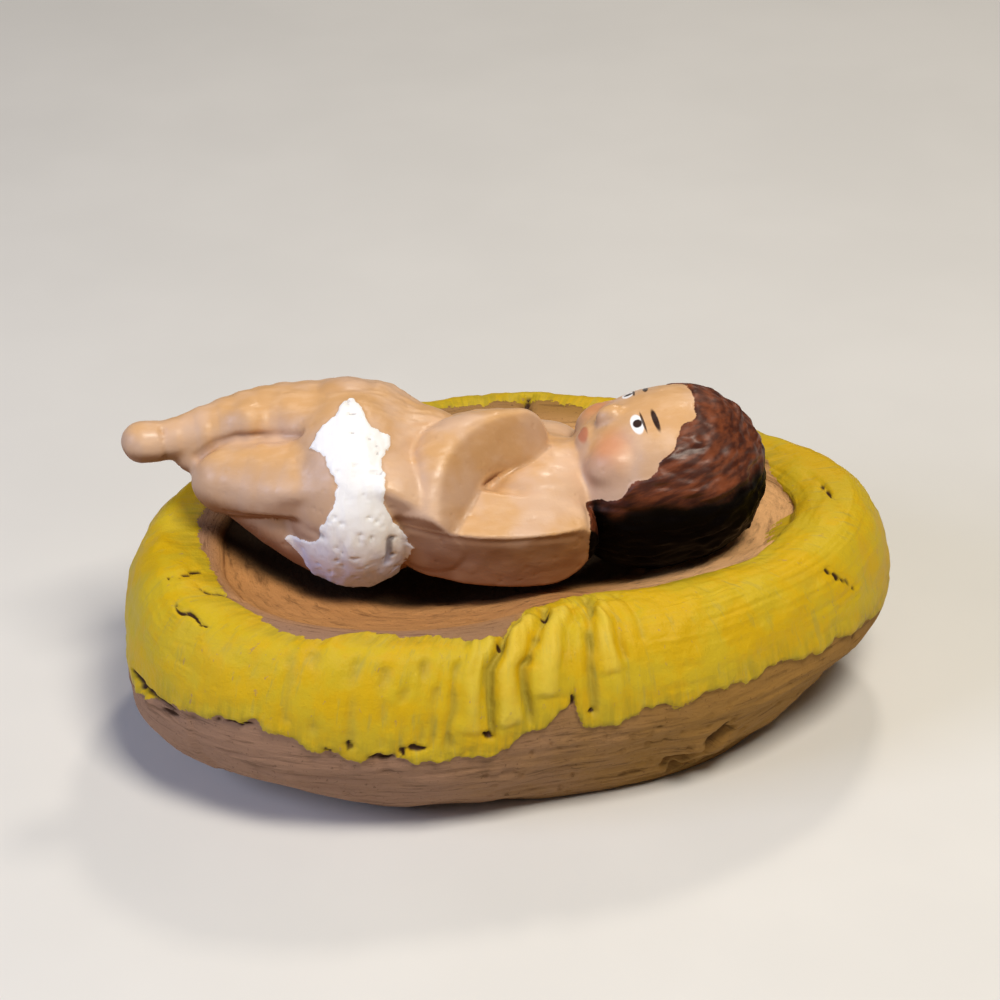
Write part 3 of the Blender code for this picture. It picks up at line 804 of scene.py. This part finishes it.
BODY, CORNERS = fused(infant, FINE_VOXEL)
BODY = drawn_to_skin(BODY, 3)
print("infant", len(BODY), "points,", len(CORNERS), "triangles")
print("off the skin by", np.abs(clay_skin(BODY)).max().round(3), "mm at most")

# %% [markdown]
# ## The infant: hair and loincloth
# Hair and cloth were laid on with a loaded brush, so they stand a little proud of the skin. Each is a region
# with a signed distance, in mm, from its edge: positive inside. The relief and the paint both read it.

# %% Where the hair is
HEAD_PLACE = (BODY - HEAD_CENTRE) @ HEAD_AXES
hx, hy, hz = HEAD_PLACE.T
hairline = 6.4 - 0.045 * hy**2
sideburn = np.maximum(5.0 + 0.30 * hx, 3.9)
from_hairline = pressed(-(hx - hairline), -(sideburn - hz), 0.8) * -1.0
scallops = 0.42 * clouds(HEAD_PLACE, (2.2, 2.2, 2.2), 2, 61)
NAPE = 6.9
HAIR = np.minimum(from_hairline + scallops, 2.0 * (BODY[:, 0] - NAPE))

# %% Where the loincloth is
HIP_CENTRE = (0.2, 0.8)
CLOTH_LEFT = (
    (-180, -17.2), (-150, -17.6), (-120, -18.2), (-90, -18.6), (-60, -19.4), (-38, -21.0), (-24, -22.6), (-12, -20.8),
    (-4, -19.6), (6, -19.2), (15, -18.4), (25, -17.5), (35, -17.2), (45, -17.6), (55, -18.4), (64, -19.5), (72, -18.7),
    (80, -17.0), (88, -16.0), (93, -15.4), (96, -14.0), (128, -14.0), (134, -16.4), (150, -16.9),
)
CLOTH_RIGHT = (
    (-180, -14.0), (-150, -13.0), (-90, -12.0), (-45, -11.4), (-23, -10.8), (-12, -10.3), (-2, -10.6), (12, -12.2),
    (28, -12.9), (45, -12.8), (55, -12.6), (61, -11.9), (66, -11.8), (70, -13.2), (76, -14.0), (82, -14.2), (88, -14.4),
    (93, -14.9), (96, -15.4), (128, -15.4), (136, -14.8), (150, -14.8),
)
around_hip = np.degrees(np.arctan2(BODY[:, 2] - HIP_CENTRE[1], HIP_CENTRE[0] - BODY[:, 1]))
cloth_left = np.interp(around_hip, *np.array(CLOTH_LEFT, float).T, period=360.0)
cloth_right = np.interp(around_hip, *np.array(CLOTH_RIGHT, float).T, period=360.0)
frayed = 0.28 * clouds(BODY, (1.5, 1.5, 1.5), 3, 71) + 0.12 * cloud(BODY, 0.45, 75)
CLOTH = np.minimum(BODY[:, 0] - cloth_left, cloth_right - BODY[:, 0]) + frayed
print("hair on", (HAIR > 0.0).mean().round(3), "and cloth on", (CLOTH > 0.0).mean().round(3), "of the points")

# %% The infant's relief
# Creases are pressed in with a tool's edge: their stops, depth and width.
CREASES = (
    (((-27.6, -2.2, 1.3), (-25.7, -3.8, 1.4), (-22.6, -5.6, 1.3), (-20.8, -6.9, 1.0), (-19.0, -8.4, 1.0)), 0.55, 0.45),
    (((-30.4, 0.8, 5.6), (-28.3, 0.9, 7.0), (-26.4, 1.0, 7.5), (-24.2, 0.9, 7.5), (-22.0, 0.5, 7.6),
      (-20.0, -0.6, 8.2)), 0.55, 0.42),
    (((-33.3, 1.6, 4.4), (-33.4, 1.6, 6.4), (-33.4, 2.2, 8.2)), 0.30, 0.35),
    (((-0.9, -4.9, 3.8), (0.6, -5.6, 3.5)), 0.26, 1.50),
    (((-11.8, -7.4, 3.2), (-11.2, -5.2, 5.4), (-9.6, -3.0, 7.0)), 0.20, 0.40),
    (((-12.6, -8.0, -2.4), (-12.6, -8.2, 0.4), (-12.2, -7.2, 2.8)), 0.30, 0.50),
    (((-12.0, -7.2, 1.7), (-9.6, -9.0, 1.3), (-7.2, -10.1, 0.9), (-4.2, -10.8, 0.6), (1.1, -10.9, 0.4),
      (5.4, -9.8, -0.2)), 0.24, 0.40),
)
STRAND = np.stack([hx / 3.6, (hy + 0.4 * hx) / 1.5, (hz + 0.25 * hx) / 0.85], 1)
locks = clouds(STRAND + 0.35 * np.stack([cloud(HEAD_PLACE, 2.4, s) for s in (81, 82, 83)], 1), 1.0, 2, 84)
hair_relief = ease(-0.15, 0.25, HAIR) * (0.16 + 0.22 * locks)
daubs = 0.10 * clouds(BODY, (0.9, 2.6, 2.6), 3, 91) - 0.16 * ease(0.64, 0.84, cloud(BODY, 0.55, 93))
cloth_relief = ease(-0.12, 0.18, CLOTH) * (0.20 + daubs)
skin_relief = 0.05 * clouds(BODY, 2.4, 3, 95) - 0.07 * ease(0.74, 0.88, cloud(BODY, 0.5, 97))
streaks = 0.09 * cloud(BODY, (3.2, 0.45, 0.45), 98) * hill(-9.5, 3.4, BODY[:, 0]) * ease(6.5, 8.0, BODY[:, 2])
creased = np.zeros(len(BODY))
for stops, deep, width in CREASES:
    stops = np.array(stops)
    for start, end in zip(stops[:-1], stops[1:]):
        creased = np.maximum(creased, deep * hill(0.0, width, from_segment(BODY, start, end)[0]))
BODY_RELIEF = skin_relief + hair_relief + cloth_relief + streaks - creased
BODY_NORMAL = outward(BODY, CORNERS)
carved = BODY + BODY_NORMAL * BODY_RELIEF[:, None]
laid = carved @ (about(1, FIGURE_PITCH) @ about(2, FIGURE_TURN)).T
LIE = np.array([0.2045, -1.3552, 22.968])
LOWEST, FREE = 0.1, 1000.0
laid = np.clip(laid + LIE, [*BED_BOX[0][:2], LOWEST], [FREE, FREE, FIGURE_BOX[1][2]])
put_points(infant, laid)
print("infant box", laid.min(0).round(2), laid.max(0).round(2))

# %% What the infant's paint reads
TO_FEET = (-0.80, -0.55, -0.24)
PAT_SHADE, FACET_PAINTED_SHADE = 0.25, 0.42
# Painted shade: the flesh goes darker in the pressed creases and on the pared forearm facet, where shade falls, and the
# pat on the hip goes darker too; it also greys on faces turned to the feet and darkens toward clay on faces turned
# down.
pared = np.abs((BODY - FOREARM_CUT[0]) @ np.array(FOREARM_CUT[1]))
near_arm = roll_distance(BODY, NEAR_FOREARM)
patted = PAT_SHADE * ease(0.40, 0.10, np.abs(ball_distance(BODY, *HIP_PAT, 0.0)))
facet = FACET_PAINTED_SHADE * ease(0.45, 0.10, pared) * ease(0.5, 0.1, near_arm)
keep(
    infant, hair=HAIR, cloth=CLOTH, head=HEAD_PLACE, body=BODY,
    under=-BODY_NORMAL[:, 2] + 0.10 * clouds(BODY, 2.5, 2, 99),
    footward=BODY_NORMAL @ TO_FEET + 0.15 * clouds(BODY, 2.8, 2, 101),
    crease=np.maximum(np.maximum(creased, patted), facet), relief=BODY_RELIEF,
)
print("creased more than halfway:", (np.maximum(creased, patted) > 0.5).sum(), "points")


# %% [markdown]
# ## Finishes: a small kit for node recipes
# Each paint is a recipe of Blender's nodes.

# %% The recipe kit
class Recipe:
    """One material and short words for the nodes that it uses."""

    def __init__(self, name):
        self.material = bpy.data.materials.new(name)
        self.material.use_nodes = True
        self.tree = self.material.node_tree
        self.shader = self.tree.nodes["Principled BSDF"]

    def node(self, kind, inputs, output=0, **settings):
        """Adds a node, sets it, joins or fills its inputs, and gives one of its outputs."""
        node = self.tree.nodes.new("ShaderNode" + kind)
        for key, value in settings.items():
            setattr(node, key, value)
        for key, value in inputs.items():
            if isinstance(value, bpy.types.NodeSocket):
                self.tree.links.new(value, node.inputs[key])
            else:
                node.inputs[key].default_value = value
        return node.outputs[output]

    def number(self, name):
        """A number kept on the mesh."""
        return self.node("Attribute", {}, "Fac", attribute_name=name)

    def place(self, name):
        """A point kept on the mesh."""
        return self.node("Attribute", {}, "Vector", attribute_name=name)

    def stretched(self, vector, scale):
        """The vector times a scale, so that noise read there is drawn out into strokes."""
        return self.node("Mapping", {"Vector": vector, "Scale": scale})

    def noise(self, vector, scale, detail=3.0, roughness=0.55):
        """Smooth noise from 0 to 1."""
        inputs = {"Vector": vector, "Scale": scale, "Detail": detail, "Roughness": roughness}
        return self.node("TexNoise", inputs, "Fac")

    def sums(self, operation, first, second=0.0, third=0.0):
        """One sum; MULTIPLY_ADD is the first times the second, plus the third."""
        return self.node("Math", {0: first, 1: second, 2: third}, operation=operation)

    def between(self, low, high, value, to_low=0.0, to_high=1.0):
        """How far the value has come from low to high, eased, given as a number from to_low to to_high."""
        inputs = {"Value": value, "From Min": low, "From Max": high, "To Min": to_low, "To Max": to_high}
        return self.node("MapRange", inputs, interpolation_type="SMOOTHSTEP")

    def blend(self, share, first, second, kind="MIX"):
        """The first colour, giving way to the second by a share."""
        colours = [c if isinstance(c, bpy.types.NodeSocket) else (*c, 1.0) for c in (first, second)]
        return self.node("Mix", {0: share, 6: colours[0], 7: colours[1]}, 2, data_type="RGBA", blend_type=kind)

    def feed(self, **sockets):
        """Joins or fills the shader's own sockets, an underscore for each space, and gives the material."""
        for name, value in sockets.items():
            socket = self.shader.inputs[name.replace("_", " ")]
            if isinstance(value, bpy.types.NodeSocket):
                self.tree.links.new(value, socket)
            else:
                socket.default_value = value
        return self.material


# %% [markdown]
# ## Finishes: the bed
# Yellow poster paint over terracotta, thin and olive along its ragged edges, with the bare clay matte below and inside.
# Painted light is in it too: a pale painted highlight on the tops of the ropes and crests, olive painted shade in the
# folds and low places, a painted pool of light on the right of the hollow, and a painted shadow, nearly black, where
# the infant covers the hollow. A painted picture could hold this; nodes that read the relief keep paint and marks
# together.

# %% The bed's paint and clay
YELLOW, LEMON, OLIVE = (0.62, 0.390, 0.005), (0.58, 0.415, 0.016), (0.33, 0.255, 0.018)
CREST_HIGHLIGHT, GREY_OLIVE = (0.74, 0.56, 0.07), (0.42, 0.335, 0.05)
UNDER_CLAY, WARM_CLAY, FLOOR_CLAY = (0.32, 0.185, 0.118), (0.33, 0.175, 0.045), (0.54, 0.265, 0.095)
LIT_FLOOR_CLAY, DARK_CLAY, SHADOW_CLAY = (0.78, 0.44, 0.20), (0.045, 0.018, 0.008), (0.004, 0.0025, 0.0015)


def straw_and_clay():
    """Clay, with yellow over it where the straw's edge distance is above 0, and bumps from the same noises."""
    r = Recipe("straw_paint_on_clay")
    hoop, spot = r.place("hoop"), r.node("TexCoord", {}, "Object")
    strokes = r.noise(r.stretched(hoop, (1.0, 1.0, 0.14)), 1.5, 4.0)
    patches = r.noise(spot, 230.0, 4.0, 0.6)
    grain = r.noise(spot, 2600.0, 3.0, 0.6)
    yellow = r.blend(r.between(0.40, 0.60, patches), YELLOW, LEMON)
    yellow = r.blend(r.between(0.50, 0.75, strokes, 0.0, 0.35), yellow, LEMON)
    low = r.between(3.0, 0.0, r.number("straw"), 0.0, 0.62)
    yellow = r.blend(r.sums("MULTIPLY", low, r.between(0.35, 0.65, strokes)), yellow, OLIVE)
    # Painted shade: olive in the scored folds.
    yellow = r.blend(r.between(0.30, 0.85, r.number("fold"), 0.0, 0.75), yellow, OLIVE)
    yellow = r.blend(r.between(0.44, 0.28, strokes, 0.0, 0.55), yellow, GREY_OLIVE)
    # Painted shade: grey-olive where the straw's relief is low.
    yellow = r.blend(r.between(-0.05, -0.45, r.number("rise"), 0.0, 0.45), yellow, GREY_OLIVE)
    # Painted highlight: the straw's high crests and ropes paler.
    yellow = r.blend(r.between(0.10, 0.60, r.number("rise"), 0.0, 0.50), yellow, CREST_HIGHLIGHT)
    flecks = r.between(0.66, 0.74, r.noise(r.stretched(hoop, (1.0, 1.0, 0.45)), 1.7, 3.0, 0.6), 0.0, 0.5)
    yellow = r.blend(flecks, yellow, UNDER_CLAY)
    across = r.node("SeparateXYZ", {"Vector": spot}, "X")
    warmer = r.sums("MULTIPLY_ADD", patches, 0.020, r.sums("SUBTRACT", across, 0.010))
    clay = r.blend(r.between(-0.020, 0.016, warmer), UNDER_CLAY, WARM_CLAY)
    # Painted light: the hollow's floor paler towards its right side, as if lit there.
    floor = r.blend(r.between(0.004, 0.014, across), FLOOR_CLAY, LIT_FLOOR_CLAY)
    clay = r.blend(r.number("inside"), clay, floor)
    stains = r.noise(r.stretched(hoop, (0.10, 0.10, 1.0)), 2.2, 5.0, 0.65)
    clay = r.blend(r.between(0.50, 0.72, stains, 0.0, 0.55), clay, DARK_CLAY)
    clay = r.blend(r.between(0.60, 0.75, grain, 0.0, 0.5), clay, DARK_CLAY)
    # Painted shadow: the clay nearly black under the infant.
    clay = r.blend(r.sums("MULTIPLY", r.number("pooled"), 0.94), clay, SHADOW_CLAY)
    edge = r.sums("MULTIPLY_ADD", r.sums("SUBTRACT", grain, 0.5), 1.0, r.number("straw"))
    painted = r.between(-0.06, 0.08, edge)
    colour = r.blend(painted, clay, yellow)
    colour = r.blend(r.between(0.25, 0.75, r.number("crack")), colour, DARK_CLAY)
    rough = r.between(0.0, 1.0, painted, 0.85, 0.52)
    wiped = r.noise(r.stretched(hoop, (0.12, 0.12, 1.0)), 3.2, 5.0, 0.7)
    height = r.sums("MULTIPLY_ADD", strokes, 0.4, r.sums("MULTIPLY", grain, 0.45))
    height = r.sums("MULTIPLY_ADD", wiped, r.between(0.6, 0.0, painted, 0.0, 1.3), height)
    dabs = r.noise(spot, 900.0, 4.0, 0.65)
    height = r.sums("MULTIPLY_ADD", dabs, 1.2, height)
    bump = r.node("Bump", {"Height": height, "Strength": 0.6, "Distance": 0.0002})
    return r.feed(Base_Color=colour, Roughness=rough, Normal=bump, Specular_IOR_Level=0.17)


bed.data.materials.append(straw_and_clay())

# %% [markdown]
# ## Finishes: the infant
# Flesh paint mixed on the brush, so it wanders between ochre and pink. Painted shade greys the faces that look to the
# feet and darkens the flesh toward clay underneath, in the creases and on the pared facet, partly where thin paint lets
# the clay show; the pat on the hip is a little darker. Dark hair, with painted shade making it nearly black below;
# thick white cloth, greyer where its relief sinks and with painted shade making it bluer below; and a plain face
# painted with a fine brush. The edges of hair and cloth are distances on the mesh, so they stay crisp.

# %% The infant's paint
OCHRE, PINK, LIGHT_FLESH = (0.66, 0.385, 0.175), (0.68, 0.45, 0.30), (0.80, 0.53, 0.33)
HAIR_DARK, HAIR_LIGHT, HAIR_SHADE = (0.055, 0.012, 0.005), (0.200, 0.052, 0.018), (0.0020, 0.0010, 0.0007)
CLAY_AND_SHADE, COOL_SHADE = (0.24, 0.105, 0.050), (0.44, 0.315, 0.270)
WHITE, SUNKEN_GREY, CLOTH_SHADE_BLUE = (0.92, 0.92, 0.94), (0.30, 0.28, 0.30), (0.50, 0.57, 0.95)
BLUSH, LIPS, INK = (0.62, 0.20, 0.075), (0.50, 0.16, 0.085), (0.030, 0.012, 0.008)
EYE, EYE_SIZE, BROW, CHEEK = (0.3, 2.9), (0.62, 1.15), (2.1, 3.1), (-3.0, 4.0)


def oval_spot(r, across, along, middle, size, soft):
    """1 inside a small oval of the face, given by its middle and half sizes: the root of two squares' sum."""
    first = r.sums("DIVIDE", r.sums("SUBTRACT", along, middle[0]), size[0])
    second = r.sums("DIVIDE", r.sums("SUBTRACT", across, middle[1]), size[1])
    away = r.sums("SQRT", r.sums("ADD", r.sums("MULTIPLY", first, first), r.sums("MULTIPLY", second, second)))
    return r.between(1.0 + soft, 1.0 - soft, away)


def painted_face(r, colour):
    """Cheeks, lips, brows and eyes on plain even proportions, the same on both sides."""
    parts = r.node("SeparateXYZ", {"Vector": r.place("head")}, "X").node
    along, across, front = parts.outputs[0], r.sums("ABSOLUTE", parts.outputs[1]), parts.outputs[2]
    facing = r.between(2.5, 3.5, front)
    for spot in (
        (BLUSH, CHEEK, (1.7, 1.7), 0.75, 0.55),
        (LIPS, (-5.1, 0.0), (0.60, 1.25), 0.25, 0.8),
        (INK, BROW, (0.28, 1.25), 0.25, 1.0),
        (WHITE, EYE, EYE_SIZE, 0.12, 1.0),
        (INK, (EYE[0] + 0.05, EYE[1]), (0.46, 0.46), 0.15, 1.0),
        (INK, (EYE[0] + 0.62, EYE[1]), (0.13, 1.2), 0.3, 0.9),
    ):
        paint, middle, size, soft, strength = spot
        shown = r.sums("MULTIPLY", facing, strength)
        share = r.sums("MULTIPLY", oval_spot(r, across, along, middle, size, soft), shown)
        colour = r.blend(share, colour, paint)
    return colour


def infant_paint():
    """Flesh with the face's spots, then hair and cloth over it, each up to its own edge distance."""
    r = Recipe("infant_paint")
    body = r.place("body")
    patches = r.noise(body, 0.16, 3.0)
    brush = r.noise(r.stretched(body, (0.35, 1.0, 1.0)), 1.1, 4.0)
    fine = r.noise(body, 3.2, 3.0, 0.6)
    flesh = r.blend(r.between(0.38, 0.62, patches), OCHRE, PINK)
    flesh = r.blend(r.between(0.45, 0.75, brush, 0.0, 0.30), flesh, LIGHT_FLESH)
    # Painted shade: darker toward clay in the creases and on the pared facet; the hip's pat a little darker.
    flesh = r.blend(r.between(0.10, 0.55, r.number("crease"), 0.0, 0.45), flesh, CLAY_AND_SHADE)
    # Painted shade: a cool grey on faces that look to the feet, away from the warm lamp.
    flesh = r.blend(r.between(0.15, 0.75, r.number("footward"), 0.0, 0.55), flesh, COOL_SHADE)
    flesh = painted_face(r, flesh)
    under = r.number("under")
    # Painted shade, partly real: the flesh goes toward clay on faces turned down, where shade falls and thin paint lets
    # the clay show.
    flesh = r.blend(r.between(-0.10, 0.45, under, 0.0, 0.85), flesh, CLAY_AND_SHADE)
    locks = r.noise(r.stretched(r.place("head"), (0.28, 0.7, 1.3)), 1.1, 4.0)
    hair = r.blend(r.between(0.35, 0.70, locks), HAIR_DARK, HAIR_LIGHT)
    # Painted shade: the hair nearly black on faces turned down.
    hair = r.blend(r.between(-0.32, -0.08, under), hair, HAIR_SHADE)
    jitter = r.sums("SUBTRACT", fine, 0.5)
    in_hair = r.between(-0.05, 0.05, r.sums("MULTIPLY_ADD", jitter, 0.3, r.number("hair")))
    in_cloth = r.between(-0.05, 0.05, r.sums("MULTIPLY_ADD", jitter, 0.35, r.number("cloth")))
    # The cloth greyer where its relief sinks, in its pits and creases.
    white = r.blend(r.between(0.10, -0.10, r.number("relief")), WHITE, SUNKEN_GREY)
    # Painted shade: the cloth bluer and greyer on faces turned down.
    white = r.blend(r.between(0.0, 0.6, under, 0.0, 0.8), white, CLOTH_SHADE_BLUE)
    colour = r.blend(in_hair, flesh, hair)
    colour = r.blend(in_cloth, colour, white)
    rough = r.between(0.30, 0.75, brush, 0.30, 0.56)
    shine = r.between(0.0, -0.50, under, 0.03, 0.40)
    height = r.sums("MULTIPLY_ADD", brush, 0.7, r.sums("MULTIPLY", fine, 0.25))
    bump = r.node("Bump", {"Height": height, "Strength": 0.35, "Distance": 0.00015})
    rough = r.sums("MULTIPLY_ADD", in_hair, 0.07, rough)
    return r.feed(Base_Color=colour, Roughness=rough, Normal=bump, Specular_IOR_Level=shine)


infant.data.materials.clear()
infant.data.materials.append(infant_paint())

# %% [markdown]
# ## The table
# One pale sheet under everything, wide enough to fill the view, and very slightly mottled.

# %% The pale table
TABLE_HALF, TABLE_DROP = 2000.0, 0.02
TABLE_PALE, TABLE_PALER = (0.72, 0.72, 0.71), (0.75, 0.75, 0.74)
table_corners = np.array([[-1, -1, 0], [1, -1, 0], [1, 1, 0], [-1, 1, 0]]) * TABLE_HALF - (0.0, 0.0, TABLE_DROP)
table = new_piece("table", table_corners, [[0, 1, 2, 3]])
pale = Recipe("pale_table")
mottle = pale.noise(pale.node("TexCoord", {}, "Object"), 30.0)
board = pale.blend(pale.between(0.3, 0.7, mottle), TABLE_PALE, TABLE_PALER)
table.data.materials.append(pale.feed(Base_Color=board, Roughness=0.7))

# %% [markdown]
# ## Handing the pieces to the frame
# Each fine piece rides on the one body and stands for its plain solid.

# %% The frame's rows
for piece, node, slot in ((bed, "straw_bed", "painted_clay_bed"), (infant, "baby_figure", "painted_clay_figure")):
    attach(piece, "root")
    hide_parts(node)
